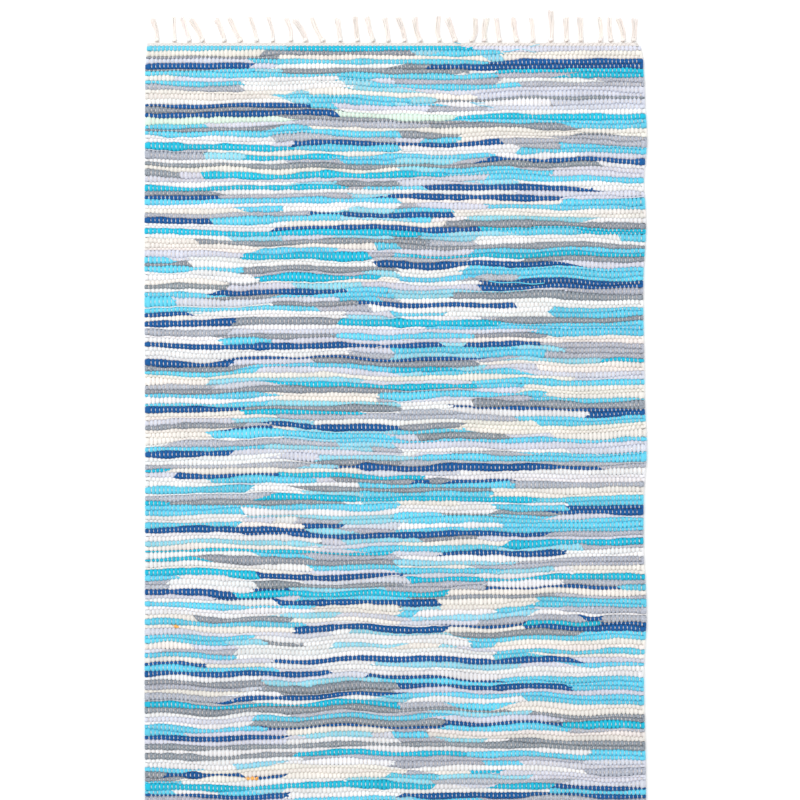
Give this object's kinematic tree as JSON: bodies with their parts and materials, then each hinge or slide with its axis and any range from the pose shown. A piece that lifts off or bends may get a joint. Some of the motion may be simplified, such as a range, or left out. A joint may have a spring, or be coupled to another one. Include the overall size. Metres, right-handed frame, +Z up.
{
  "type": "cotton rug",
  "caption": "Flat-woven cotton rag rug with narrow multicoloured weft stripes, plain headings and a knotted warp fringe at both ends.",
  "frame": {"origin": "middle of the rug on its flat underside", "axes": "+Z up out of the floor, +Y along the warp towards the far fringe, +X across from selvedge to selvedge"},
  "size_m": [0.6999, 1.292, 0.007],
  "materials": {
    "rag_cotton": "matt cotton rag strips in blues, whites and greys, woven tight",
    "warp_cotton": "matt undyed cotton yarn"
  },
  "bodies": {
    "root": {"rug_body": "rag_cotton", "fringe_far": "warp_cotton", "fringe_near": "warp_cotton"}
  },
  "joints": []
}
